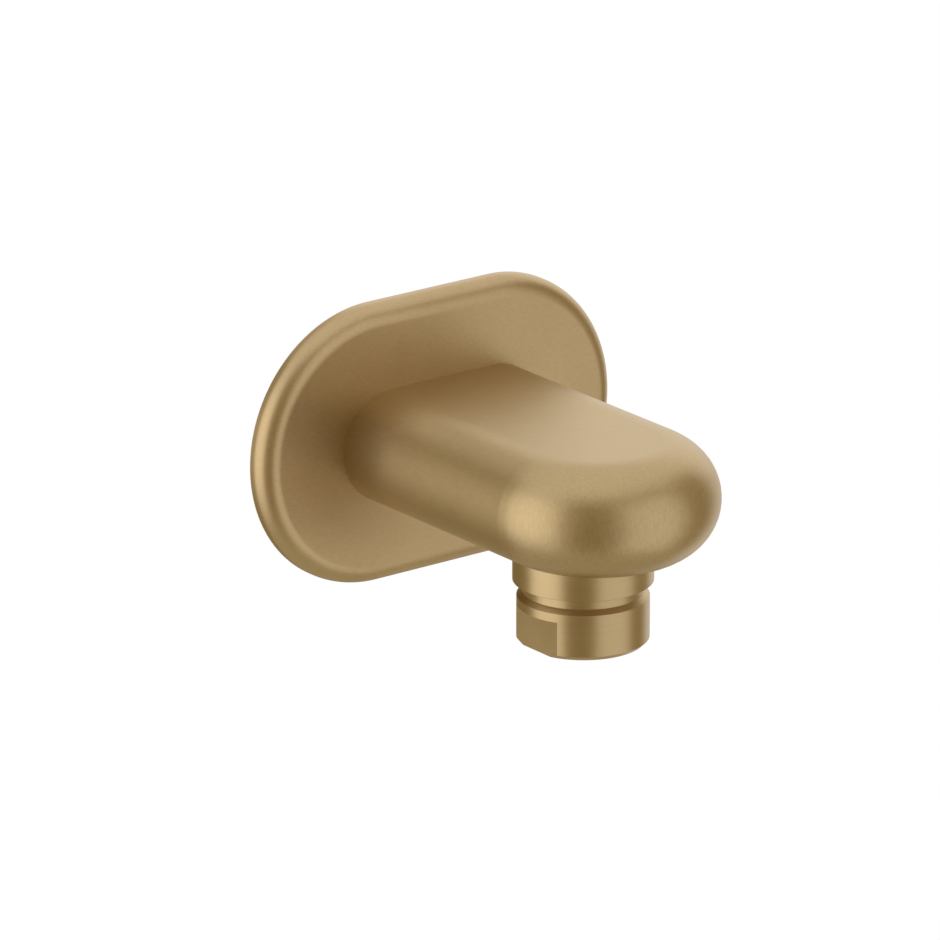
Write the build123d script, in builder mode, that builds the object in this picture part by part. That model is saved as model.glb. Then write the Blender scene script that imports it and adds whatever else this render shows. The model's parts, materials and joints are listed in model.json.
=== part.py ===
from build123d import *
from build123d.topology import SkipClean
import os

# Wall outlet elbow for a hand-shower hose, in millimetres.
# The wall is the XZ plane, +Z is up, and the arm reaches into the room along -Y.
# The origin is the centre of the wall plate's back face.

# Wall plate
plate_length = 70.0
plate_height = 46.2
plate_thickness = 4.0  # wall to face
edge_radius = 3.2  # large rounding from the side to the face
rim_width = 3.9  # solid rim round the hollow back
plate_wall = 1.7

# Arm
arm_width = 39.0
arm_height = 18.5
outlet_reach = 40.4  # wall to outlet axis
nose_lead = 3.3  # centre of the half-round nose beyond the outlet axis
waterway_diameter = 9.0
chamber_headroom = 0.6  # water chamber above the waterway's crown

# Inlet: the arm's socket slides over the nose of the wall nipple
wall_thread_diameter = 20.955
wall_thread_length = 14.0
wall_thread_setback = 1.0  # thread starts this far behind the wall plane
wall_thread_chamfer = 1.2
nipple_nose_diameter = 13.0
nipple_nose_length = 20.5  # from the wall plane into the arm
nipple_nose_chamfer = 0.6
nipple_bore = 8.0
hex_key_size = 8.0
hex_key_depth = 3.2
socket_wall = 1.3  # metal round the socket where it passes through the plate
socket_clearance = 0.05
socket_end_gap = 0.5
tenon_setback = 0.5  # tenon ends short of the wall
tenon_clearance = 0.1

# Seals on the wall nipple
inlet_groove_depth = 1.1
inlet_groove_width = 1.9
front_groove_setback = 4.6  # nose tip to front groove's centre
groove_pitch = 2.9
seal_gap = 0.05

# Grub screw from below
grub_diameter = 5.0
grub_reach = 9.0  # wall to screw axis
grub_tip_diameter = 1.5
grub_inset = 0.15  # screw head below the arm's skin
grub_key_size = 2.5
grub_key_depth = 1.6
grub_groove_depth = 0.9
grub_groove_floor = 1.9
grub_gap = 0.05

# Plate gasket
gasket_width = 4.0
gasket_gap = 0.05

# Outlet nipple
hose_thread_diameter = 20.955
spigot_length = 8.33
spigot_chamfer = 0.7
spigot_lead = 0.78  # height of the cone at the top of the spigot
neck_depth = 0.78  # relief groove between collar and spigot
neck_length = 1.79
collar_diameter = 22.25
collar_drop = 5.13  # collar shown below the arm
collar_edge = 0.06
flat_depth = 1.34  # each wrench flat below the spigot's surface
flat_band = 2.18  # uncut metal above the flats
outlet_wall = 2.9  # metal between spigot surface and cartridge bore
shank_diameter = 16.6
shank_length = 5.3
shank_wall = 2.8
shank_clearance = 0.05
shank_end_gap = 0.3
spot_depth = 0.3  # the collar seats this deep in the arm
spot_clearance = 0.12
outlet_seal_width = 1.4
outlet_seal_depth = 1.4

# Check-valve cartridge
valve_recess = 1.2  # cartridge above the spigot's mouth
cartridge_length = 12.8
cartridge_clearance = 0.1
seat_length = 3.5
valve_wall = 0.8
flow_gap = 1.1  # between poppet and cage
seat_land = 1.0
seat_lead = 0.8  # chamfer at the inlet of the seat
cartridge_groove_depth = 1.0
cartridge_groove_width = 1.7

# Poppet, its guide and spring
poppet_travel = 2.2
poppet_thickness = 1.3
poppet_seal_thickness = 0.9
poppet_seat_gap = 0.03
poppet_nose_gap = 0.4  # between the poppet's nose and the seat
poppet_nose_length = 2.2
poppet_nose_round = 1.2
stem_diameter = 2.6
stem_length = 5.8
stem_clearance = 0.08
guide_wall = 0.6
guide_gap = 0.5  # guide stays this far below the open poppet
rib_count = 3
rib_width = 1.5
rib_height = 2.0
wire_diameter = 0.5
spring_turns = 4.0
spring_gap = 0.05  # at the wire's ends
spring_side_gap = 0.35

# Places worked out from the sizes above
nose_centre = outlet_reach + nose_lead
arm_bottom = -arm_height / 2

socket_radius = nipple_nose_diameter / 2 + socket_clearance
socket_end = nipple_nose_length + socket_end_gap
tenon_height = 2 * (socket_radius + socket_wall)
tenon_width = tenon_height + arm_width - arm_height

pocket_depth = plate_thickness - plate_wall

collar_top = arm_bottom + spot_depth
collar_bottom = arm_bottom - collar_drop
spigot_top = collar_bottom - neck_length
spigot_bottom = spigot_top - spigot_length
shank_top = collar_top + shank_length
shank_radius = shank_diameter / 2
shank_bore_radius = shank_radius + shank_clearance
chamber_radius = shank_radius - shank_wall
chamber_top = waterway_diameter / 2 + chamber_headroom

cartridge_bore_radius = hose_thread_diameter / 2 - outlet_wall
cartridge_radius = cartridge_bore_radius - cartridge_clearance
cartridge_bottom = spigot_bottom + valve_recess
cartridge_top = cartridge_bottom + cartridge_length
seat_level = cartridge_top - seat_length
poppet_radius = cartridge_radius - valve_wall - flow_gap
seat_radius = poppet_radius - seat_land
poppet_nose_radius = seat_radius - poppet_nose_gap
seal_top = seat_level - poppet_seat_gap
poppet_top = seal_top - poppet_seal_thickness
poppet_bottom = poppet_top - poppet_thickness
guide_top = poppet_bottom - poppet_travel - guide_gap
stem_radius = stem_diameter / 2
guide_bore_radius = stem_radius + stem_clearance
guide_radius = guide_bore_radius + guide_wall
rib_top = cartridge_bottom + rib_height

outlet_axis = Axis((0, -outlet_reach, 0), (0, 0, 1))
outlet_plane = Plane.XZ.offset(outlet_reach)


# Arm: a full-round section run out from the plate, then turned half round for the nose
with BuildPart() as elbow_body:
    with BuildSketch(Plane.XZ.offset(plate_thickness)):
        SlotOverall(arm_width, arm_height)
    extrude(amount=nose_centre - plate_thickness)
    with BuildSketch(Plane.XZ.offset(nose_centre)):
        SlotOverall(arm_width, arm_height)
        split(bisect_by=Plane.YZ)
    revolve(axis=Axis((0, -nose_centre, 0), (0, 0, -1)), revolution_arc=180)
    # Tenon through the plate
    with BuildSketch(Plane.XZ.offset(tenon_setback)):
        SlotOverall(tenon_width, tenon_height)
    extrude(amount=plate_thickness - tenon_setback)
    # Inlet socket and waterway
    with BuildSketch(Plane.XZ.offset(tenon_setback)):
        Circle(socket_radius)
    extrude(amount=socket_end - tenon_setback, mode=Mode.SUBTRACT)
    with BuildSketch(Plane.XZ.offset(socket_end)):
        Circle(waterway_diameter / 2)
    extrude(amount=outlet_reach - socket_end, mode=Mode.SUBTRACT)
    # Outlet seat: spot face, seal groove, threaded hole and water chamber on one axis
    seal_groove_radius = shank_radius + outlet_seal_width
    with BuildSketch(outlet_plane):
        with BuildLine():
            Polyline(
                (0, collar_bottom),
                (collar_diameter / 2 + spot_clearance, collar_bottom),
                (collar_diameter / 2 + spot_clearance, collar_top),
                (seal_groove_radius, collar_top),
                (seal_groove_radius, collar_top + outlet_seal_depth),
                (shank_bore_radius, collar_top + outlet_seal_depth),
                (shank_bore_radius, shank_top + shank_end_gap),
                (chamber_radius, shank_top + shank_end_gap),
                (chamber_radius, chamber_top),
                (0, chamber_top),
                close=True,
            )
        make_face()
    revolve(axis=outlet_axis, mode=Mode.SUBTRACT)
    # Tapped hole for the grub screw
    with BuildSketch(Plane.XY.offset(arm_bottom)):
        with Locations((0, -grub_reach)):
            Circle(grub_diameter / 2 + seal_gap)
    extrude(amount=arm_height / 2, mode=Mode.SUBTRACT)

# Wall plate: a pill with one large rounding from its side to its face, and a hollow back
with BuildPart() as wall_plate:
    with BuildSketch(Plane.XZ):
        SlotOverall(plate_length, plate_height)
    extrude(amount=plate_thickness)
    face_edge = wall_plate.faces().sort_by(Axis.Y)[0].outer_wire().edges()
    fillet(face_edge, radius=min(edge_radius, 0.9 * plate_thickness))
    with BuildSketch(Plane.XZ):
        SlotOverall(plate_length - 2 * rim_width, plate_height - 2 * rim_width)
    extrude(amount=pocket_depth, mode=Mode.SUBTRACT)
    with BuildSketch(Plane.XZ):
        SlotOverall(tenon_width + 2 * tenon_clearance, tenon_height + 2 * tenon_clearance)
    extrude(amount=plate_thickness, mode=Mode.SUBTRACT)

# Gasket: soft ring round the inside of the plate's hollow back
with BuildPart() as plate_gasket:
    gasket_inset = rim_width + gasket_gap
    with BuildSketch(Plane.XZ.offset(gasket_gap)):
        SlotOverall(plate_length - 2 * gasket_inset, plate_height - 2 * gasket_inset)
        gasket_inside = gasket_inset + gasket_width
        SlotOverall(
            plate_length - 2 * gasket_inside,
            plate_height - 2 * gasket_inside,
            mode=Mode.SUBTRACT,
        )
    extrude(amount=pocket_depth - 2 * gasket_gap)

# Wall nipple: thread into the wall, grooved nose into the arm's socket
nose_radius = nipple_nose_diameter / 2
groove_floor_radius = nose_radius - inlet_groove_depth
front_groove = nipple_nose_length - front_groove_setback
rear_groove = front_groove - groove_pitch
thread_radius = wall_thread_diameter / 2
thread_end = wall_thread_setback + wall_thread_length
with BuildPart() as wall_nipple:
    with BuildSketch(Plane.XY):
        with BuildLine():
            Polyline(
                (nipple_bore / 2, thread_end),
                (thread_radius - wall_thread_chamfer, thread_end),
                (thread_radius, thread_end - wall_thread_chamfer),
                (thread_radius, wall_thread_setback + wall_thread_chamfer / 2),
                (thread_radius - wall_thread_chamfer / 2, wall_thread_setback),
                (nose_radius, wall_thread_setback),
                (nose_radius, nipple_nose_chamfer - nipple_nose_length),
                (nose_radius - nipple_nose_chamfer, -nipple_nose_length),
                (nipple_bore / 2, -nipple_nose_length),
                close=True,
            )
        make_face()
        # Two square seal grooves and one tapered groove for the grub screw
        with Locations((nose_radius, -front_groove), (nose_radius, -rear_groove)):
            Rectangle(2 * inlet_groove_depth, inlet_groove_width, mode=Mode.SUBTRACT)
        half_floor = grub_groove_floor / 2
        half_mouth = half_floor + grub_groove_depth
        with BuildLine():
            Polyline(
                (nose_radius, -grub_reach - half_mouth),
                (nose_radius - grub_groove_depth, -grub_reach - half_floor),
                (nose_radius - grub_groove_depth, -grub_reach + half_floor),
                (nose_radius, -grub_reach + half_mouth),
                close=True,
            )
        make_face(mode=Mode.SUBTRACT)
    revolve(axis=Axis.Y)
    with BuildSketch(Plane.XZ.offset(nipple_nose_length)):
        RegularPolygon(hex_key_size / 2, 6, major_radius=False)
    extrude(amount=-hex_key_depth, mode=Mode.SUBTRACT)

# Two seals in the nipple's grooves
inlet_seal_radius = (socket_radius - groove_floor_radius) / 2 - seal_gap
inlet_seal_centre = (socket_radius + groove_floor_radius) / 2
with BuildPart() as inlet_o_ring_front:
    with BuildSketch(Plane.XY):
        with Locations((inlet_seal_centre, -front_groove)):
            Circle(inlet_seal_radius)
    revolve(axis=Axis.Y)

with BuildPart() as inlet_o_ring_rear:
    with BuildSketch(Plane.XY):
        with Locations((inlet_seal_centre, -rear_groove)):
            Circle(inlet_seal_radius)
    revolve(axis=Axis.Y)

# Grub screw: cone tip up into the nipple's groove, hexagon socket below
grub_tip = -(nose_radius - grub_groove_depth) - grub_gap
grub_head = arm_bottom + grub_inset
grub_cone = (grub_diameter - grub_tip_diameter) / 2
with BuildPart() as grub_screw:
    with BuildSketch(Plane.XZ.offset(grub_reach)):
        with BuildLine():
            Polyline(
                (0, grub_tip),
                (grub_tip_diameter / 2, grub_tip),
                (grub_diameter / 2, grub_tip - grub_cone),
                (grub_diameter / 2, grub_head),
                (0, grub_head),
                close=True,
            )
        make_face()
    revolve(axis=Axis((0, -grub_reach, 0), (0, 0, 1)))
    with BuildSketch(Plane.XY.offset(grub_head)):
        with Locations((0, -grub_reach)):
            RegularPolygon(grub_key_size / 2, 6, major_radius=False)
    extrude(amount=grub_key_depth, mode=Mode.SUBTRACT)

# Outlet nipple: shank, collar, relief groove and spigot turned in one piece
spigot_radius = hose_thread_diameter / 2
neck_radius = spigot_radius - neck_depth
collar_radius = collar_diameter / 2
flat_top = spigot_top - flat_band
with BuildPart() as outlet_nipple:
    # Mouth of the spigot, with a wrench flat milled on both sides
    with BuildSketch(outlet_plane):
        with BuildLine():
            Polyline(
                (cartridge_bore_radius, flat_top),
                (spigot_radius, flat_top),
                (spigot_radius, spigot_bottom + spigot_chamfer),
                (spigot_radius - spigot_chamfer, spigot_bottom),
                (cartridge_bore_radius, spigot_bottom),
                close=True,
            )
        make_face()
    revolve(axis=outlet_axis)
    with BuildSketch(Plane.XY.offset(spigot_bottom)):
        with Locations((spigot_radius, -outlet_reach), (-spigot_radius, -outlet_reach)):
            Rectangle(2 * flat_depth, 2 * spigot_radius)
    extrude(amount=flat_top - spigot_bottom, mode=Mode.SUBTRACT)
    # Uncut band and its cone, relief groove, collar and shank; the band stays a face of its own
    with BuildSketch(outlet_plane):
        with BuildLine():
            Polyline(
                (chamber_radius, shank_top),
                (shank_radius, shank_top),
                (shank_radius, collar_top),
                (collar_radius, collar_top),
                (collar_radius, collar_bottom + collar_edge),
                (collar_radius - collar_edge, collar_bottom),
                (neck_radius, collar_bottom),
                (neck_radius, spigot_top),
                (spigot_radius, spigot_top - spigot_lead),
                (spigot_radius, flat_top),
                (cartridge_bore_radius, flat_top),
                (cartridge_bore_radius, cartridge_top),
                (chamber_radius, cartridge_top),
                close=True,
            )
        make_face()
    with SkipClean():
        revolve(axis=outlet_axis, clean=False)

# Seal under the collar
outlet_seal_radius = min(outlet_seal_width, outlet_seal_depth) / 2 - seal_gap
with BuildPart() as outlet_o_ring:
    with BuildSketch(outlet_plane):
        with Locations((shank_radius + outlet_seal_width / 2, collar_top + outlet_seal_depth / 2)):
            Circle(outlet_seal_radius)
    revolve(axis=outlet_axis)

# Cartridge's upper ring: valve seat below, seal groove outside
cartridge_groove = (cartridge_top + seat_level) / 2
with BuildPart() as valve_seat_ring:
    with BuildSketch(outlet_plane):
        with BuildLine():
            Polyline(
                (seat_radius + seat_lead, cartridge_top),
                (cartridge_radius, cartridge_top),
                (cartridge_radius, seat_level),
                (seat_radius, seat_level),
                (seat_radius, cartridge_top - seat_lead),
                close=True,
            )
        make_face()
        with Locations((cartridge_radius, cartridge_groove)):
            Rectangle(2 * cartridge_groove_depth, cartridge_groove_width, mode=Mode.SUBTRACT)
    revolve(axis=outlet_axis)

# Seal round the cartridge
valve_groove_floor = cartridge_radius - cartridge_groove_depth
valve_seal_radius = (cartridge_bore_radius - valve_groove_floor) / 2 - seal_gap
with BuildPart() as valve_o_ring:
    with BuildSketch(outlet_plane):
        with Locations(((cartridge_bore_radius + valve_groove_floor) / 2, cartridge_groove)):
            Circle(valve_seal_radius)
    revolve(axis=outlet_axis)

# Cartridge's lower cage: thin wall, ribs and the tube that guides the stem
with BuildPart() as valve_cage:
    with BuildSketch(Plane.XY.offset(cartridge_bottom)):
        with Locations((0, -outlet_reach)):
            Circle(cartridge_radius)
            Circle(cartridge_radius - valve_wall, mode=Mode.SUBTRACT)
    extrude(amount=seat_level - cartridge_bottom)
    with BuildSketch(Plane.XY.offset(cartridge_bottom)):
        rib_length = cartridge_radius - valve_wall / 2
        with Locations((0, -outlet_reach)):
            with PolarLocations(rib_length / 2, rib_count, start_angle=90):
                Rectangle(rib_length, rib_width)
    extrude(amount=rib_height)
    with BuildSketch(Plane.XY.offset(cartridge_bottom)):
        with Locations((0, -outlet_reach)):
            Circle(guide_radius)
    extrude(amount=guide_top - cartridge_bottom)
    with BuildSketch(Plane.XY.offset(cartridge_bottom)):
        with Locations((0, -outlet_reach)):
            Circle(guide_bore_radius)
    extrude(amount=guide_top - cartridge_bottom, mode=Mode.SUBTRACT)

# Poppet: rounded nose in the seat, disc below it and a stem in the guide
with BuildPart() as valve_poppet:
    stem_bottom = poppet_bottom - stem_length
    nose_top = poppet_top + poppet_nose_length
    with BuildSketch(outlet_plane):
        with BuildLine():
            Polyline(
                (0, stem_bottom),
                (stem_radius, stem_bottom),
                (stem_radius, poppet_bottom),
                (poppet_radius, poppet_bottom),
                (poppet_radius, poppet_top),
                (poppet_nose_radius, poppet_top),
                (poppet_nose_radius, nose_top),
                (0, nose_top),
                close=True,
            )
        make_face()
    revolve(axis=outlet_axis)
    nose_rim = valve_poppet.faces().sort_by(Axis.Z)[-1].edges()
    fillet(nose_rim, radius=min(poppet_nose_round, 0.9 * poppet_nose_radius))

# Seal on the poppet's disc
with BuildPart() as poppet_seal:
    with BuildSketch(Plane.XY.offset(poppet_top)):
        with Locations((0, -outlet_reach)):
            Circle(poppet_radius)
            Circle(poppet_nose_radius + seal_gap, mode=Mode.SUBTRACT)
    extrude(amount=poppet_seal_thickness)

# Spring between the cage's ribs and the poppet's disc
spring_radius = guide_radius + spring_side_gap + wire_diameter / 2
spring_bottom = rib_top + wire_diameter / 2 + spring_gap
spring_top = poppet_bottom - wire_diameter / 2 - spring_gap
spring_height = spring_top - spring_bottom
with BuildPart() as valve_spring:
    with BuildLine() as coil:
        Helix(
            pitch=spring_height / spring_turns,
            height=spring_height,
            radius=spring_radius,
            center=(0, -outlet_reach, spring_bottom),
        )
    with BuildSketch(coil.line ^ 0):
        Circle(wire_diameter / 2)
    sweep()

pieces = {
    "elbow_body": elbow_body,
    "wall_plate": wall_plate,
    "plate_gasket": plate_gasket,
    "wall_nipple": wall_nipple,
    "inlet_o_ring_front": inlet_o_ring_front,
    "inlet_o_ring_rear": inlet_o_ring_rear,
    "grub_screw": grub_screw,
    "outlet_nipple": outlet_nipple,
    "outlet_o_ring": outlet_o_ring,
    "valve_seat_ring": valve_seat_ring,
    "valve_o_ring": valve_o_ring,
    "valve_cage": valve_cage,
    "valve_poppet": valve_poppet,
    "poppet_seal": poppet_seal,
    "valve_spring": valve_spring,
}

os.makedirs("parts", exist_ok=True)
for name, piece in pieces.items():
    piece.part.label = name
    export_step(piece.part, f"parts/{name}.step")
    print(name, round(piece.part.volume, 1), "mm3")
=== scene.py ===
import bpy
import bmesh
import json
import math
from mathutils import Matrix, Vector


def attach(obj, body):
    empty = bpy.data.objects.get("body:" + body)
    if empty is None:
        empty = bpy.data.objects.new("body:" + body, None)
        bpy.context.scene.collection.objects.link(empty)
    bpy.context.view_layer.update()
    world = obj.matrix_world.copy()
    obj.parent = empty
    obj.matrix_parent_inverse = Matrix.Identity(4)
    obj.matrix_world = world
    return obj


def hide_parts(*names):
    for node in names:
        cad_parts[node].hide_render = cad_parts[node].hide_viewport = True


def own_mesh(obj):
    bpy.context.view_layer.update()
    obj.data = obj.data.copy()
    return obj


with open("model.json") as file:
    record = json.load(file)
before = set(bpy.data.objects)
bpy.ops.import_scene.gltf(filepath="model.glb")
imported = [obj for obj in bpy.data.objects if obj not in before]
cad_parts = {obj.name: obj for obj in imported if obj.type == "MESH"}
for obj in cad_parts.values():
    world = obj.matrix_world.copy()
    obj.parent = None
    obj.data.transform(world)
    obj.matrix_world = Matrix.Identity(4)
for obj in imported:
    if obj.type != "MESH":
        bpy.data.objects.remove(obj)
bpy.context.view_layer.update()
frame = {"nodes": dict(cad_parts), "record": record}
mm = 0.001
outletReach = 40.4  # mm from the wall to the axis of the outlet
screwReach = 9.0  # mm from the wall to the axis of the grub screw


def toLinear(hexColour):  # sRGB hex to the linear colour that shaders take
    srgb = [int(hexColour[i:i + 2], 16) / 255 for i in (1, 3, 5)]
    linear = [c / 12.92 if c <= 0.04045 else ((c + 0.055) / 1.055) ** 2.4 for c in srgb]
    return (*linear, 1.0)


def addNode(tree, kind, inputs=None, **settings):  # a socket as value makes a link
    node = tree.nodes.new(kind)
    for name, value in settings.items():
        setattr(node, name, value)
    for name, value in (inputs or {}).items():
        if isinstance(value, bpy.types.NodeSocket):
            tree.links.new(value, node.inputs[name])
        else:
            node.inputs[name].default_value = value
    return node


def newMaterial(name):
    material = bpy.data.materials.new(name)
    material.use_nodes = True
    return material, material.node_tree, material.node_tree.nodes["Principled BSDF"]


noiseSpan = {"low": 0.3, "middle": 0.5, "high": 0.7}  # where nearly all values of a noise lie
lineNoise = {"Scale": 1.0, "Detail": 2.0, "Roughness": 0.6}


def brushedLines(tree, place, look):
    # Straight lines along X, Y or Z. Where two letters are given, the first holds for the arm,
    # with fainter lines, and the second for the nose in front of it.
    across, along = 1 / (look["lineWidth"] * mm), 1 / (look["lineLength"] * mm)
    fields = []
    for run in look["runs"]:
        scale = [along if letter == run else across for letter in "XYZ"]
        grain = addNode(tree, "ShaderNodeMapping", {"Vector": place, "Scale": scale})
        fields.append(addNode(tree, "ShaderNodeTexNoise", {
            "Vector": grain.outputs["Vector"], **lineNoise}).outputs["Fac"])
    if len(fields) == 1:
        return fields[0]
    onArm, onNose = fields
    reachOut = addNode(tree, "ShaderNodeSeparateXYZ", {"Vector": place}).outputs["Y"]
    noseShare = addNode(tree, "ShaderNodeMapRange", {
        "Value": reachOut, "From Min": (look["noseStart"] + look["noseBlend"]) * mm,
        "From Max": (look["noseStart"] - look["noseBlend"]) * mm}).outputs["Result"]
    fainter = addNode(tree, "ShaderNodeMix", {
        "Factor": look["armCalm"], "A": onArm, "B": noiseSpan["middle"]}).outputs["Result"]
    return addNode(tree, "ShaderNodeMix", {
        "Factor": noseShare, "A": fainter, "B": onNose}).outputs["Result"]


def turnedLines(tree, place, look, axis):  # rings round an axis, as a lathe leaves them
    across, along = 1 / (look["lineWidth"] * mm), 1 / (look["lineLength"] * mm)
    centred = addNode(tree, "ShaderNodeMapping", {
        "Vector": place, "Location": axis["shift"], "Rotation": axis["turn"]}).outputs["Vector"]
    flat = addNode(tree, "ShaderNodeVectorMath", {
        0: centred, 1: (1, 1, 0)}, operation="MULTIPLY").outputs["Vector"]
    fromAxis = addNode(tree, "ShaderNodeVectorMath", {0: flat}, operation="LENGTH")
    height = addNode(tree, "ShaderNodeSeparateXYZ", {"Vector": centred}).outputs["Z"]
    rings = addNode(tree, "ShaderNodeCombineXYZ", {
        "X": fromAxis.outputs["Value"], "Z": height}).outputs["Vector"]
    fine = addNode(tree, "ShaderNodeVectorMath", {
        0: rings, "Scale": across}, operation="SCALE").outputs["Vector"]
    drift = addNode(tree, "ShaderNodeVectorMath", {
        0: flat, "Scale": along}, operation="SCALE").outputs["Vector"]
    grain = addNode(tree, "ShaderNodeVectorMath", {0: fine, 1: drift})
    return addNode(tree, "ShaderNodeTexNoise", {
        "Vector": grain.outputs["Vector"], **lineNoise}).outputs["Fac"]


def applyLook(tree, shader, look, shade, height, depth):
    # Colour and gloss follow the shade, the relief follows the height
    spread = addNode(tree, "ShaderNodeMapRange", {
        "Value": shade, "From Min": noiseSpan["low"],
        "From Max": noiseSpan["high"]}).outputs["Result"]
    tint = addNode(tree, "ShaderNodeValToRGB", {"Fac": spread})
    tint.color_ramp.elements[0].color = toLinear(look["deep"])
    tint.color_ramp.elements[1].color = toLinear(look["light"])
    gloss = addNode(tree, "ShaderNodeMapRange", {
        "Value": spread, "To Min": look["roughness"][0], "To Max": look["roughness"][1]})
    relief = addNode(tree, "ShaderNodeBump", {
        "Height": height, "Strength": 1.0, "Distance": depth * mm})
    tree.links.new(tint.outputs["Color"], shader.inputs["Base Color"])
    tree.links.new(gloss.outputs["Result"], shader.inputs["Roughness"])
    tree.links.new(relief.outputs["Normal"], shader.inputs["Normal"])


def makeMetal(name, look, axis=None):
    # Long fine noise gives the tool lines, a large soft one the cloudiness of the finish
    material, tree, shader = newMaterial(name)
    place = addNode(tree, "ShaderNodeTexCoord").outputs["Object"]
    if axis is None:
        lines = brushedLines(tree, place, look)
    else:
        lines = turnedLines(tree, place, look, axis)
    clouds = addNode(tree, "ShaderNodeTexNoise", {
        "Vector": place, "Scale": 1 / (look["cloudSize"] * mm), "Detail": 3.0}).outputs["Fac"]
    shade = addNode(tree, "ShaderNodeMix", {
        "Factor": look["cloudShare"], "A": lines, "B": clouds}).outputs["Result"]
    applyLook(tree, shader, look, shade, lines, look["lineDepth"])
    shader.inputs["Metallic"].default_value = 1.0
    return material


def makeSoft(name, look):
    # Grains or cells in a rubber or a moulded plastic, over a slow change of shade
    material, tree, shader = newMaterial(name)
    place = addNode(tree, "ShaderNodeTexCoord").outputs["Object"]
    cells = addNode(tree, "ShaderNodeTexVoronoi", {
        "Vector": place, "Scale": 1 / (look["grain"] * mm)}).outputs["Distance"]
    shade = addNode(tree, "ShaderNodeTexNoise", {
        "Vector": place, "Scale": 1 / (look["patch"] * mm), "Detail": 3.0}).outputs["Fac"]
    applyLook(tree, shader, look, shade, cells, look["grainDepth"])
    shader.inputs["IOR"].default_value = look["ior"]
    shader.inputs["Subsurface Weight"].default_value = look["depthGlow"]
    shader.inputs["Subsurface Scale"].default_value = look["glowReach"] * mm
    return material


# All lengths in these finishes are in mm.
# Brass, belt-brushed, then coated by vapour deposition: a satin gold-brown metal whose lights
# stay soft, with a faint cloudiness and hair-fine lines, along the arm and upright on its nose
brushedArm = {
    "light": "#C1A97F",
    "deep": "#B39B73",
    "runs": "YZ",
    "noseStart": -43.7,
    "noseBlend": 3.0,  # to each side of the start
    "armCalm": 0.4,  # how much fainter the lines along the arm are
    "lineWidth": 0.3,  # real lines are nearer 0.05, too fine to show here
    "lineLength": 1.8,
    "lineDepth": 0.008,
    "cloudSize": 14.0,
    "cloudShare": 0.2,
    "roughness": (0.38, 0.42),
}
# The same on the plate, brushed along its length with a finer belt that leaves shorter lines
brushedPlate = {
    "light": "#C5AC82",
    "deep": "#B69D75",
    "runs": "X",
    "lineWidth": 0.22,  # coarser than real, as on the arm
    "lineLength": 0.9,
    "lineDepth": 0.004,
    "cloudSize": 14.0,
    "cloudShare": 0.4,
    "roughness": (0.38, 0.42),
}
# The same coat over lathe-turned brass: fine rings round the outlet, a little shinier
turnedBrass = {
    "light": "#C1A97F",
    "deep": "#B39B73",
    "lineWidth": 0.22,
    "lineLength": 12.0,
    "lineDepth": 0.0008,
    "cloudSize": 14.0,
    "cloudShare": 0.65,
    "roughness": (0.34, 0.38),
}
outletAxis = {"shift": (0, outletReach * mm, 0), "turn": (0, 0, 0)}
# Bare brass bar, machined and uncoated: yellower and shinier, with coarser tool rings
bareBrass = {
    "light": "#E2C98A",
    "deep": "#D2B670",
    "lineWidth": 0.3,
    "lineLength": 15.0,
    "lineDepth": 0.003,
    "cloudSize": 6.0,
    "cloudShare": 0.35,
    "roughness": (0.24, 0.34),
}
inletAxis = {"shift": (0, 0, 0), "turn": (math.radians(90), 0, 0)}
# Stainless steel, machined: cool grey with fine rings round the screw's axis
machinedSteel = {
    "light": "#C2C1BE",
    "deep": "#A9A8A5",
    "lineWidth": 0.15,
    "lineLength": 4.0,
    "lineDepth": 0.002,
    "cloudSize": 3.0,
    "cloudShare": 0.3,
    "roughness": (0.26, 0.36),
}
screwAxis = {"shift": (0, screwReach * mm, 0), "turn": (0, 0, 0)}
# Spring steel, drawn to wire and passivated: brighter, with die lines along the coil
drawnSteel = {
    **machinedSteel,
    "light": "#CFCECB",
    "deep": "#B4B3B0",
    "lineWidth": 0.08,
    "roughness": (0.22, 0.3),
}
# Closed-cell foam rubber, cut from sheet: dull charcoal with open cells at the cut
foamRubber = {
    "light": "#2E2D2B",
    "deep": "#1F1E1D",
    "grain": 0.35,  # one cell
    "grainDepth": 0.12,
    "patch": 5.0,
    "roughness": (0.82, 0.95),
    "ior": 1.45,
    "depthGlow": 0.0,
    "glowReach": 0.0,
}
# Nitrile rubber, moulded and greased: near-black with a soft shine
nitrileRubber = {
    "light": "#1C1B1A",
    "deep": "#121211",
    "grain": 0.2,
    "grainDepth": 0.004,
    "patch": 1.5,
    "roughness": (0.42, 0.58),
    "ior": 1.52,
    "depthGlow": 0.0,
    "glowReach": 0.0,
}
# Acetal, injection-moulded: waxy white that light enters a little way
whiteAcetal = {
    "light": "#EDEBE2",
    "deep": "#E4E1D6",
    "grain": 0.15,
    "grainDepth": 0.003,
    "patch": 4.0,
    "roughness": (0.34, 0.44),
    "ior": 1.48,
    "depthGlow": 0.15,
    "glowReach": 0.6,
}
# The same plastic with grey pigment, which stops the light at the skin
greyAcetal = {**whiteAcetal, "light": "#96989C", "deep": "#898B90", "depthGlow": 0.0}

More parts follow.
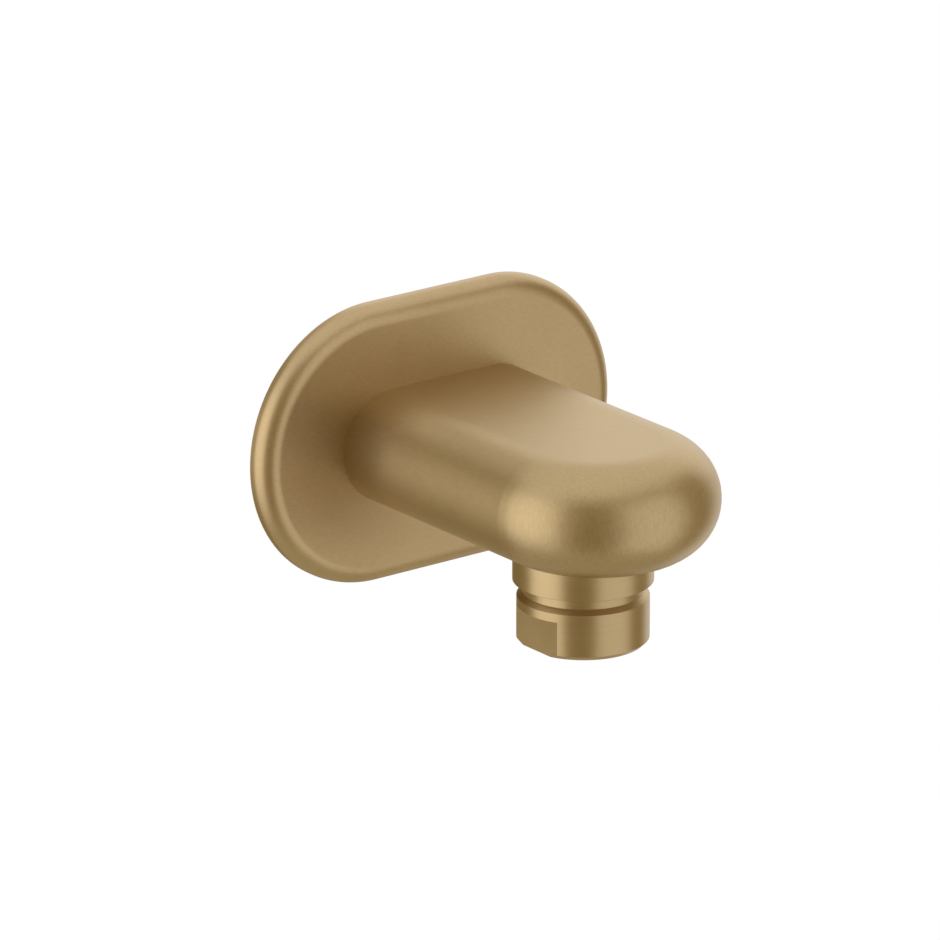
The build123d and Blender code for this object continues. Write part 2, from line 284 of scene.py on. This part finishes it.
materials = {
    "satin_brass": makeMetal("brass_brushed_vapour_coated", brushedArm),
    "satin_plate": makeMetal("brass_brushed_lengthwise_vapour_coated", brushedPlate),
    "turned_brass": makeMetal("brass_turned_vapour_coated", turnedBrass, outletAxis),
    "raw_brass": makeMetal("brass_machined_bare", bareBrass, inletAxis),
    "screw_steel": makeMetal("stainless_steel_machined", machinedSteel, screwAxis),
    "spring_steel": makeMetal("spring_steel_drawn", drawnSteel, outletAxis),
    "foam_rubber": makeSoft("foam_rubber_closed_cell", foamRubber),
    "seal_rubber": makeSoft("nitrile_rubber_moulded", nitrileRubber),
    "white_acetal": makeSoft("acetal_moulded_white", whiteAcetal),
    "grey_acetal": makeSoft("acetal_moulded_grey", greyAcetal),
}
for part in frame["record"]["subparts"]:
    for slot in frame["nodes"][part["node"]].material_slots:
        slot.material = materials[part["material_slot"]]
print("materials ready:", len(materials))


def newTree(name, inputs):  # node group with named inputs and one geometry output
    tree = bpy.data.node_groups.new(name, "GeometryNodeTree")
    for title, kind in inputs.items():
        tree.interface.new_socket(title, in_out="INPUT", socket_type="NodeSocket" + kind)
    tree.interface.new_socket("Geometry", in_out="OUTPUT", socket_type="NodeSocketGeometry")
    return tree, addNode(tree, "NodeGroupInput").outputs


def closeTree(tree, geometry, material):  # plain mesh with its finish, then out
    real = addNode(tree, "GeometryNodeRealizeInstances", {"Geometry": geometry})
    done = addNode(tree, "GeometryNodeSetMaterial", {
        "Geometry": real.outputs["Geometry"], "Material": material})
    addNode(tree, "NodeGroupOutput", {"Geometry": done.outputs["Geometry"]})


def drawSection(name, points):  # closed curve through points in mm, for a tree to carry along
    data = bpy.data.curves.new(name, "CURVE")
    data.dimensions = "3D"
    spline = data.splines.new("POLY")
    spline.points.add(len(points) - 1)
    for point, (x, y) in zip(spline.points, points):
        point.co = (x * mm, y * mm, 0, 1)
    spline.use_cyclic_u = True
    return bpy.data.objects.new(name, data)


def runTree(name, tree, values):  # the tree's result as a mesh
    holder = bpy.data.objects.new(name, bpy.data.meshes.new(name + "_base"))
    bpy.context.collection.objects.link(holder)
    modifier = holder.modifiers.new("shape", "NODES")
    modifier.node_group = tree
    for item in tree.interface.items_tree:
        if item.in_out == "INPUT":
            modifier[item.identifier] = values[item.name]
    evaluated = holder.evaluated_get(bpy.context.evaluated_depsgraph_get())
    mesh = bpy.data.meshes.new_from_object(evaluated)
    bpy.data.objects.remove(holder)
    return mesh


mergeGap = 0.002  # mm


def finishPiece(mesh, name, node, sharpAngle):
    work = bmesh.new()
    work.from_mesh(mesh)
    bmesh.ops.remove_doubles(work, verts=work.verts[:], dist=mergeGap * mm)
    bmesh.ops.recalc_face_normals(work, faces=work.faces[:])
    work.to_mesh(mesh)
    work.free()
    mesh.name = name
    mesh.shade_smooth()
    mesh.set_sharp_from_angle(angle=math.radians(sharpAngle))
    piece = bpy.data.objects.new(name, mesh)
    bpy.context.collection.objects.link(piece)
    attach(piece, "fitting")
    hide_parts(node)
    print(name, "faces:", len(mesh.polygons))
    return piece


def makePillTree():  # a section carried round a pill-shaped line, for the plate and its gasket
    tree, pill = newTree("pill_sweep", {
        "Section": "Object", "Length": "Float", "Height": "Float", "Steps": "Int",
        "Hole Reach": "Float", "Hole Shift": "Float", "Material": "Material"})
    halfHeight = addNode(tree, "ShaderNodeMath", {
        0: pill["Height"], 1: 0.5}, operation="MULTIPLY").outputs["Value"]
    halfLength = addNode(tree, "ShaderNodeMath", {
        0: pill["Length"], 1: 0.5}, operation="MULTIPLY").outputs["Value"]
    straight = addNode(tree, "ShaderNodeMath", {
        0: halfLength, 1: halfHeight}, operation="SUBTRACT").outputs["Value"]
    # A circle turned by half a step has no point on its upright axis, so its halves pull apart
    circle = addNode(tree, "GeometryNodeCurvePrimitiveCircle", {
        "Resolution": pill["Steps"], "Radius": halfHeight})
    halfStep = addNode(tree, "ShaderNodeMath", {
        0: math.pi, 1: pill["Steps"]}, operation="DIVIDE").outputs["Value"]
    angles = addNode(tree, "ShaderNodeCombineXYZ", {"Z": halfStep})
    turn = addNode(tree, "FunctionNodeEulerToRotation", {"Euler": angles.outputs["Vector"]})
    turned = addNode(tree, "GeometryNodeTransform", {
        "Geometry": circle.outputs["Curve"], "Rotation": turn.outputs["Rotation"]})
    spot = addNode(tree, "GeometryNodeInputPosition").outputs["Position"]
    spotAcross = addNode(tree, "ShaderNodeSeparateXYZ", {"Vector": spot}).outputs["X"]
    side = addNode(tree, "ShaderNodeMath", {0: spotAcross}, operation="SIGN").outputs["Value"]
    pull = addNode(tree, "ShaderNodeMath", {0: side, 1: straight}, operation="MULTIPLY")
    pullAcross = addNode(tree, "ShaderNodeCombineXYZ", {"X": pull.outputs["Value"]})
    pulled = addNode(tree, "GeometryNodeSetPosition", {
        "Geometry": turned.outputs["Geometry"], "Offset": pullAcross.outputs["Vector"]})
    outline = addNode(tree, "GeometryNodeSetCurveNormal", {
        "Curve": pulled.outputs["Geometry"]}, mode="Z_UP")
    section = addNode(tree, "GeometryNodeObjectInfo", {"Object": pill["Section"]})
    swept = addNode(tree, "GeometryNodeCurveToMesh", {
        "Curve": outline.outputs["Curve"], "Profile Curve": section.outputs["Geometry"]})
    # The hole for the arm is a shorter pill, so its ends move in
    mirrored = addNode(tree, "ShaderNodeVectorMath", {0: spot}, operation="ABSOLUTE")
    straightRun = addNode(tree, "ShaderNodeCombineXYZ", {"X": straight})
    pastStraight = addNode(tree, "ShaderNodeVectorMath", {
        0: mirrored.outputs["Vector"], 1: straightRun.outputs["Vector"]}, operation="SUBTRACT")
    inEnd = addNode(tree, "ShaderNodeVectorMath", {
        0: pastStraight.outputs["Vector"], 1: (0, 0, 0)}, operation="MAXIMUM")
    inPlane = addNode(tree, "ShaderNodeVectorMath", {
        0: inEnd.outputs["Vector"], 1: (1, 1, 0)}, operation="MULTIPLY")
    fromLine = addNode(tree, "ShaderNodeVectorMath", {
        0: inPlane.outputs["Vector"]}, operation="LENGTH")
    onHole = addNode(tree, "FunctionNodeCompare", {
        "A": fromLine.outputs["Value"], "B": pill["Hole Reach"]}, operation="LESS_THAN")
    moveIn = addNode(tree, "ShaderNodeMath", {
        0: side, 1: pill["Hole Shift"]}, operation="MULTIPLY")
    shift = addNode(tree, "ShaderNodeCombineXYZ", {"X": moveIn.outputs["Value"]})
    holed = addNode(tree, "GeometryNodeSetPosition", {
        "Geometry": swept.outputs["Mesh"], "Selection": onHole.outputs["Result"],
        "Offset": shift.outputs["Vector"]})
    stood = addNode(tree, "GeometryNodeTransform", {
        "Geometry": holed.outputs["Geometry"], "Rotation": (math.radians(90), 0, 0)})
    closeTree(tree, stood.outputs["Geometry"], pill["Material"])
    return tree


# Wall plate: an upright side, one large rounding to the face, and a hollow back
wallPlate = {
    "length": 70.0,
    "height": 46.2,
    "thickness": 4.0,
    "round": 3.2,  # radius from the side to the face
    "roundSteps": 36,
    "backEdge": 0.05,  # broken edge at the wall
    "rim": 3.9,  # width of the rim that stands on the wall
    "pocket": 2.3,  # depth of the hollow back
    "holeLength": 36.4,
    "holeHeight": 15.9,
    "holeMargin": 0.1,  # catches the points on the hole's edge
    "sideLoop": 0.8,  # extra edge loops keep the flats flat: share of the upright side
    "faceLoop": 0.2,  # mm from the rounding
    "holeLoop": 0.6,  # mm from the hole
    "steps": 160,  # round both ends, a multiple of 4
    "sharp": 40,  # degrees
}


def plateSection(plate):  # inward and wall-to-face distances, from the back edge round
    radius, face = plate["round"], plate["thickness"]
    foot = face - radius
    points = [(plate["backEdge"], 0), (0, plate["backEdge"]), (0, foot * plate["sideLoop"])]
    for i in range(plate["roundSteps"] + 1):
        tilt = math.radians(90) * (1 - i / plate["roundSteps"])
        points.append((radius * (1 - math.sin(tilt)), foot + radius * math.cos(tilt)))
    hole = (plate["height"] - plate["holeHeight"]) / 2
    points += [(radius + plate["faceLoop"], face), (hole - plate["holeLoop"], face), (hole, face),
               (hole, plate["pocket"]), (plate["rim"], plate["pocket"]), (plate["rim"], 0)]
    return points


pillTree = makePillTree()
pillSize = {
    "Length": wallPlate["length"] * mm,
    "Height": wallPlate["height"] * mm,
    "Steps": wallPlate["steps"],
}
holeShift = ((wallPlate["holeLength"] - wallPlate["holeHeight"])
             - (wallPlate["length"] - wallPlate["height"])) / 2
plateMesh = runTree("wall_plate_shape", pillTree, {
    **pillSize,
    "Section": drawSection("plate_section", [(-s, -f) for s, f in plateSection(wallPlate)]),
    "Hole Reach": (wallPlate["holeHeight"] / 2 + wallPlate["holeMargin"]) * mm,
    "Hole Shift": holeShift * mm,
    "Material": materials["satin_plate"],
})
finishPiece(plateMesh, "wallPlate", "wall_plate", wallPlate["sharp"])

# Gasket: a soft ring round the plate's hollow back, with rounded cut edges
plateGasket = {
    "inset": 3.95,  # from the plate's outline
    "width": 4.0,
    "back": 0.05,
    "front": 2.25,
    "edge": 0.3,  # radius of the cut edges
    "edgeSteps": 4,
    "sharp": 40,  # degrees
}


def gasketSection(gasket):  # inward and wall-to-face distances, one rounded corner after another
    edge, steps = gasket["edge"], gasket["edgeSteps"]
    outer, inner = gasket["inset"] + edge, gasket["inset"] + gasket["width"] - edge
    back, front = gasket["back"] + edge, gasket["front"] - edge
    points = []
    for inset, depth, start in (
            (outer, front, 180), (inner, front, 90), (inner, back, 0), (outer, back, 270)):
        for i in range(steps + 1):
            angle = math.radians(start - 90 * i / steps)
            points.append((inset + edge * math.cos(angle), depth + edge * math.sin(angle)))
    return points


gasketMesh = runTree("plate_gasket_shape", pillTree, {
    **pillSize,
    "Section": drawSection("gasket_section", [(-s, -f) for s, f in gasketSection(plateGasket)]),
    "Hole Reach": 0.0,
    "Hole Shift": 0.0,
    "Material": materials["foam_rubber"],
})
finishPiece(gasketMesh, "plateGasket", "plate_gasket", plateGasket["sharp"])


def makeCoilTree():  # a section wound on a helix, for the pipe thread and the valve spring
    tree, coil = newTree("coil", {
        "Section": "Object", "Radius": "Float", "Rise": "Float", "Turns": "Float",
        "Steps Per Turn": "Int", "Closed Turns": "Float", "Run-out Turns": "Float",
        "End Size": "Float", "Material": "Material"})
    helix = addNode(tree, "GeometryNodeCurveSpiral", {
        "Resolution": coil["Steps Per Turn"], "Rotations": coil["Turns"],
        "Start Radius": coil["Radius"], "End Radius": coil["Radius"], "Height": coil["Rise"],
        "Reverse": True})  # right-handed
    way = addNode(tree, "GeometryNodeSplineParameter").outputs["Factor"]
    wayLeft = addNode(tree, "ShaderNodeMath", {
        0: 1.0, 1: way}, operation="SUBTRACT").outputs["Value"]
    # Closed end turns don't climb, so the turns between them climb faster
    closedShare = addNode(tree, "ShaderNodeMath", {
        0: coil["Closed Turns"], 1: coil["Turns"]}, operation="DIVIDE").outputs["Value"]
    closedEnd = addNode(tree, "ShaderNodeMath", {
        0: 1.0, 1: closedShare}, operation="SUBTRACT").outputs["Value"]
    climb = addNode(tree, "ShaderNodeMapRange", {
        "Value": way, "From Min": closedShare, "From Max": closedEnd}).outputs["Result"]
    climbChange = addNode(tree, "ShaderNodeMath", {
        0: climb, 1: way}, operation="SUBTRACT").outputs["Value"]
    lift = addNode(tree, "ShaderNodeMath", {
        0: climbChange, 1: coil["Rise"]}, operation="MULTIPLY").outputs["Value"]
    liftUp = addNode(tree, "ShaderNodeCombineXYZ", {"Z": lift})
    wound = addNode(tree, "GeometryNodeSetPosition", {
        "Geometry": helix.outputs["Curve"], "Offset": liftUp.outputs["Vector"]})
    upright = addNode(tree, "GeometryNodeSetCurveNormal", {
        "Curve": wound.outputs["Geometry"]}, mode="Z_UP")
    # The section shrinks to its end size over the run-out at each end
    nearEnd = addNode(tree, "ShaderNodeMath", {
        0: way, 1: wayLeft}, operation="MINIMUM").outputs["Value"]
    turnsFromEnd = addNode(tree, "ShaderNodeMath", {
        0: nearEnd, 1: coil["Turns"]}, operation="MULTIPLY").outputs["Value"]
    swell = addNode(tree, "ShaderNodeMapRange", {
        "Value": turnsFromEnd, "From Min": 0.0, "From Max": coil["Run-out Turns"],
        "To Min": coil["End Size"]}, interpolation_type="SMOOTHSTEP").outputs["Result"]
    section = addNode(tree, "GeometryNodeObjectInfo", {"Object": coil["Section"]})
    coiled = addNode(tree, "GeometryNodeCurveToMesh", {
        "Curve": upright.outputs["Curve"], "Profile Curve": section.outputs["Geometry"],
        "Scale": swell, "Fill Caps": True})
    closeTree(tree, coiled.outputs["Mesh"], coil["Material"])
    return tree


# Wall nipple: pipe thread for the wall, and a grooved nose that the arm slides over
wallNipple = {
    "threadRadius": 10.4775,
    "pitch": 1.814,
    "threadDepth": 1.16,
    "threadStart": 1.0,
    "threadEnd": 15.0,
    "ridgeFoot": 0.42,  # half the ridge's width at its foot, in pitches
    "ridgeCrest": 0.09,  # and at its crest
    "ridgeSink": 0.15,  # mm into the core
    "crestDrop": 0.08,  # mm, height of the broken corners at the crest
    "crestBreak": 0.05,  # mm, half their width
    "ridgeSteps": 72,
    "runOut": 0.6,  # turns over which the ridge fades at each end
    "runOutSize": 0.05,
    "endChamfer": 1.2,
    "noseRadius": 6.5,
    "noseEnd": -20.5,
    "noseChamfer": 0.6,
    "bore": 4.0,
    "key": 4.0,  # half the hexagon's width across flats
    "keyDepth": 3.2,
    "sealGrooves": (-15.9, -13.0),
    "sealWidth": 1.9,
    "sealDepth": 1.1,
    "screwFloor": 1.9,  # width of the grub screw's groove at its floor
    "screwDepth": 0.9,
    "steps": 96,
    "sharp": 32,  # degrees
}


def nippleRings(nipple):  # depth, radius and number of sides of each ring, thread end to bore
    nose, start, end = nipple["noseRadius"], nipple["threadStart"], nipple["threadEnd"]
    core = min(nipple["threadRadius"] - nipple["threadDepth"],
               nipple["threadRadius"] - nipple["endChamfer"])
    rings = [(end, nipple["bore"], 0), (end, core, 0), (start, core, 0), (start, nose, 0)]
    floor, depth = nipple["screwFloor"] / 2, nipple["screwDepth"]
    for place, radius in ((floor + depth, nose), (floor, nose - depth), (-floor, nose - depth),
                          (-floor - depth, nose)):
        rings.append((-screwReach + place, radius, 0))
    half, bottom = nipple["sealWidth"] / 2, nose - nipple["sealDepth"]
    for groove in sorted(nipple["sealGrooves"], reverse=True):
        rings += [(groove + half, nose, 0), (groove + half, bottom, 0),
                  (groove - half, bottom, 0), (groove - half, nose, 0)]
    noseEnd, chamfer, key = nipple["noseEnd"], nipple["noseChamfer"], nipple["key"]
    keyEnd = noseEnd + nipple["keyDepth"]
    rings += [(noseEnd + chamfer, nose, 0), (noseEnd, nose - chamfer, 0),
              (noseEnd, key, 6), (keyEnd, key, 6), (keyEnd, nipple["bore"], 0)]
    return rings


def addRings(work, rings, steps):  # faces from ring to ring, and from the last to the first
    loops = []
    for depth, radius, sides in rings:
        loop = []
        for i in range(steps):
            angle = 2 * math.pi * i / steps
            reach = radius
            if sides:  # flats in place of a circle
                half = math.pi / sides
                reach = radius / math.cos(angle % (2 * half) - half)
            loop.append(work.verts.new((
                reach * math.cos(angle) * mm, depth * mm, reach * math.sin(angle) * mm)))
        loops.append(loop)
    for here, there in zip(loops, loops[1:] + loops[:1]):
        for i in range(steps):
            j = (i + 1) % steps
            work.faces.new((here[i], here[j], there[j], there[i]))


def threadSection(nipple):  # outward and along the axis, from the core over the crest and back
    foot, crest = nipple["pitch"] * nipple["ridgeFoot"], nipple["pitch"] * nipple["ridgeCrest"]
    depth, corner = nipple["threadDepth"], nipple["crestBreak"]
    flank = [(-nipple["ridgeSink"], foot), (0, foot),
             (depth - nipple["crestDrop"], crest + corner), (depth, crest - corner)]
    return flank + [(out, -along) for out, along in reversed(flank)]


coilTree = makeCoilTree()
threadTurns = (wallNipple["threadEnd"] - wallNipple["threadStart"]) / wallNipple["pitch"] - 1
threadMesh = runTree("wall_thread_shape", coilTree, {
    "Section": drawSection("thread_section", threadSection(wallNipple)),
    "Radius": (wallNipple["threadRadius"] - wallNipple["threadDepth"]) * mm,
    "Rise": threadTurns * wallNipple["pitch"] * mm,
    "Turns": threadTurns,
    "Steps Per Turn": wallNipple["ridgeSteps"],
    "Closed Turns": 0.0,
    "Run-out Turns": wallNipple["runOut"],
    "End Size": wallNipple["runOutSize"],
    "Material": materials["raw_brass"],
})
threadPlace = Matrix.Translation((0, (wallNipple["threadStart"] + wallNipple["pitch"] / 2) * mm, 0))
threadMesh.transform(threadPlace @ Matrix.Rotation(math.radians(-90), 4, "X"))
nippleMesh = bpy.data.meshes.new("wall_nipple_body")
nippleWork = bmesh.new()
addRings(nippleWork, nippleRings(wallNipple), wallNipple["steps"])
nippleWork.from_mesh(threadMesh)
nippleWork.to_mesh(nippleMesh)
nippleWork.free()
nippleMesh.materials.append(materials["raw_brass"])
finishPiece(nippleMesh, "wallNipple", "wall_nipple", wallNipple["sharp"])

# Valve spring: drawn wire with closed end turns
valveSpring = {
    "radius": 2.58,
    "wire": 0.5,
    "wireSides": 12,
    "bottom": -21.05,
    "top": -16.48,
    "turns": 4.6,
    "closedTurns": 0.6,
    "steps": 40,  # in a turn
    "runOut": 1.0,
    "endSize": 1.0,  # the wire keeps its thickness
    "foot": -21.3,  # height of the end that stays
    "openShare": 0.566,  # of its length, at the poppet's limit
    "sharp": 50,  # degrees
}


def wireSection(spring):
    radius, sides = spring["wire"] / 2, spring["wireSides"]
    angles = [math.radians(360 / sides * i) for i in range(sides)]
    return [(radius * math.cos(angle), radius * math.sin(angle)) for angle in angles]


springMesh = runTree("valve_spring_shape", coilTree, {
    "Section": drawSection("wire_section", wireSection(valveSpring)),
    "Radius": valveSpring["radius"] * mm,
    "Rise": (valveSpring["top"] - valveSpring["bottom"]) * mm,
    "Turns": valveSpring["turns"],
    "Steps Per Turn": valveSpring["steps"],
    "Closed Turns": valveSpring["closedTurns"],
    "Run-out Turns": valveSpring["runOut"],
    "End Size": valveSpring["endSize"],
    "Material": materials["spring_steel"],
})
springMesh.transform(Matrix.Translation((0, -outletReach * mm, valveSpring["bottom"] * mm)))
springPiece = finishPiece(
    springMesh, "valveSpring", "valve_spring", valveSpring["sharp"])
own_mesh(springPiece)

# Camera where the photograph was taken from
shot = {
    "azimuth": -37.33,
    "elevation": 18.88,
    "distance": 1.3823,
    "lens": 336.45,
    "sensor": 36,
    "clipStart": 0.05,
    "aim": (-0.0068, -0.0201, -0.0006),
}


def direction(azimuth, elevation):  # degrees; azimuth 0 is in front of the plate, 90 its right
    a, e = math.radians(azimuth), math.radians(elevation)
    return Vector((math.sin(a) * math.cos(e), -math.cos(a) * math.cos(e), math.sin(e)))


cameraData = bpy.data.cameras.new("camera")
cameraData.lens = shot["lens"]
cameraData.sensor_width = shot["sensor"]
cameraData.clip_start = shot["clipStart"]
camera = bpy.data.objects.new("camera", cameraData)
towardsCamera = direction(shot["azimuth"], shot["elevation"])
camera.location = Vector(shot["aim"]) + towardsCamera * shot["distance"]
camera.rotation_euler = towardsCamera.to_track_quat("Z", "Y").to_euler()
bpy.context.collection.objects.link(camera)
bpy.context.scene.camera = camera
print("camera ready")

# White studio all round, with warm cards that darken parts of it for the metal to mirror
studio = {
    "white": "#FFFFFF",
    "middle": (0, -0.02, 0),
    "cardDistance": 0.8,
    "cardColumns": 48,
    "cardRows": 12,
    "cards": {  # azimuth from and to, elevation from and to, colour
        "front_left": (-71, -15, -48, 50, "#9A8A63"),
        "right": (48, 90, -48, 41, "#A6956D"),
        "front_top": (-15, 48, 40, 52, "#A89872"),
        "behind": (162, 230, -48, 41, "#95855D"),
        "behind_low": (125, 162, -48, -18, "#B0A280"),
        "below": (-180, 180, -90, -48, "#C3BCA6"),
    },
    "lampDistance": 0.9,
    "lamps": {  # azimuth, elevation, width, height, watts
        "left_softbox": (-106, 2, 1.25, 1.18, 2.3),
        "rear_wash": (128, 18, 1.0, 0.5, 0.4),
    },
    "floorDrop": 0.95,
    "floorReach": 3.0,
}
middle = Vector(studio["middle"])


def addStage(name, verts, faces, material):
    mesh = bpy.data.meshes.new(name)
    mesh.from_pydata(verts, [], faces)
    mesh.materials.append(material)
    stageObject = bpy.data.objects.new(name, mesh)
    bpy.context.collection.objects.link(stageObject)
    return stageObject


def addCard(name, azFrom, azTo, elFrom, elTo, colour):
    # A patch of a sphere that only reflections show
    material, tree, shader = newMaterial(name)
    tree.nodes.remove(shader)
    glow = addNode(tree, "ShaderNodeEmission", {"Color": toLinear(colour)})
    tree.links.new(glow.outputs["Emission"], tree.nodes["Material Output"].inputs["Surface"])
    columns, rows = studio["cardColumns"], studio["cardRows"]
    azimuths = [azFrom + (azTo - azFrom) * i / columns for i in range(columns + 1)]
    elevations = [elFrom + (elTo - elFrom) * j / rows for j in range(rows + 1)]
    verts = [middle + studio["cardDistance"] * direction(azimuth, elevation)
             for elevation in elevations for azimuth in azimuths]
    corners = [j * (columns + 1) + i for j in range(rows) for i in range(columns)]
    faces = [(k, k + 1, k + columns + 2, k + columns + 1) for k in corners]
    card = addStage(name, verts, faces, material)
    card.visible_camera = False
    card.visible_diffuse = False
    card.visible_shadow = False
    card.visible_transmission = False


def addLamp(name, azimuth, elevation, width, height, watts):
    lampData = bpy.data.lights.new(name, "AREA")
    lampData.shape = "RECTANGLE"
    lampData.size = width
    lampData.size_y = height
    lampData.energy = watts
    lamp = bpy.data.objects.new(name, lampData)
    outward = direction(azimuth, elevation)
    lamp.location = middle + outward * studio["lampDistance"]
    lamp.rotation_euler = outward.to_track_quat("Z", "Y").to_euler()
    lamp.visible_camera = False
    bpy.context.collection.objects.link(lamp)


def addFloor():  # white and well below; seen from underneath it lets the view through
    material, tree, shader = newMaterial("floor_painted_white")
    tree.nodes.remove(shader)
    paint = addNode(tree, "ShaderNodeBsdfDiffuse", {"Color": toLinear(studio["white"])})
    clear = addNode(tree, "ShaderNodeBsdfTransparent")
    back = addNode(tree, "ShaderNodeNewGeometry").outputs["Backfacing"]
    oneWay = addNode(tree, "ShaderNodeMixShader", {
        0: back, 1: paint.outputs["BSDF"], 2: clear.outputs["BSDF"]})
    tree.links.new(oneWay.outputs["Shader"], tree.nodes["Material Output"].inputs["Surface"])
    reach, height = studio["floorReach"], -studio["floorDrop"]
    corners = [(-reach, -reach, height), (reach, -reach, height),
               (reach, reach, height), (-reach, reach, height)]
    addStage("floor", corners, [(0, 1, 2, 3)], material)


world = bpy.data.worlds.new("studio")
world.use_nodes = True
world.node_tree.nodes["Background"].inputs["Color"].default_value = toLinear(studio["white"])
bpy.context.scene.world = world
for name, card in studio["cards"].items():
    addCard("card_" + name, *card)
for name, lamp in studio["lamps"].items():
    addLamp(name, *lamp)
addFloor()
bpy.context.scene.view_settings.view_transform = "Standard"
print("studio ready")
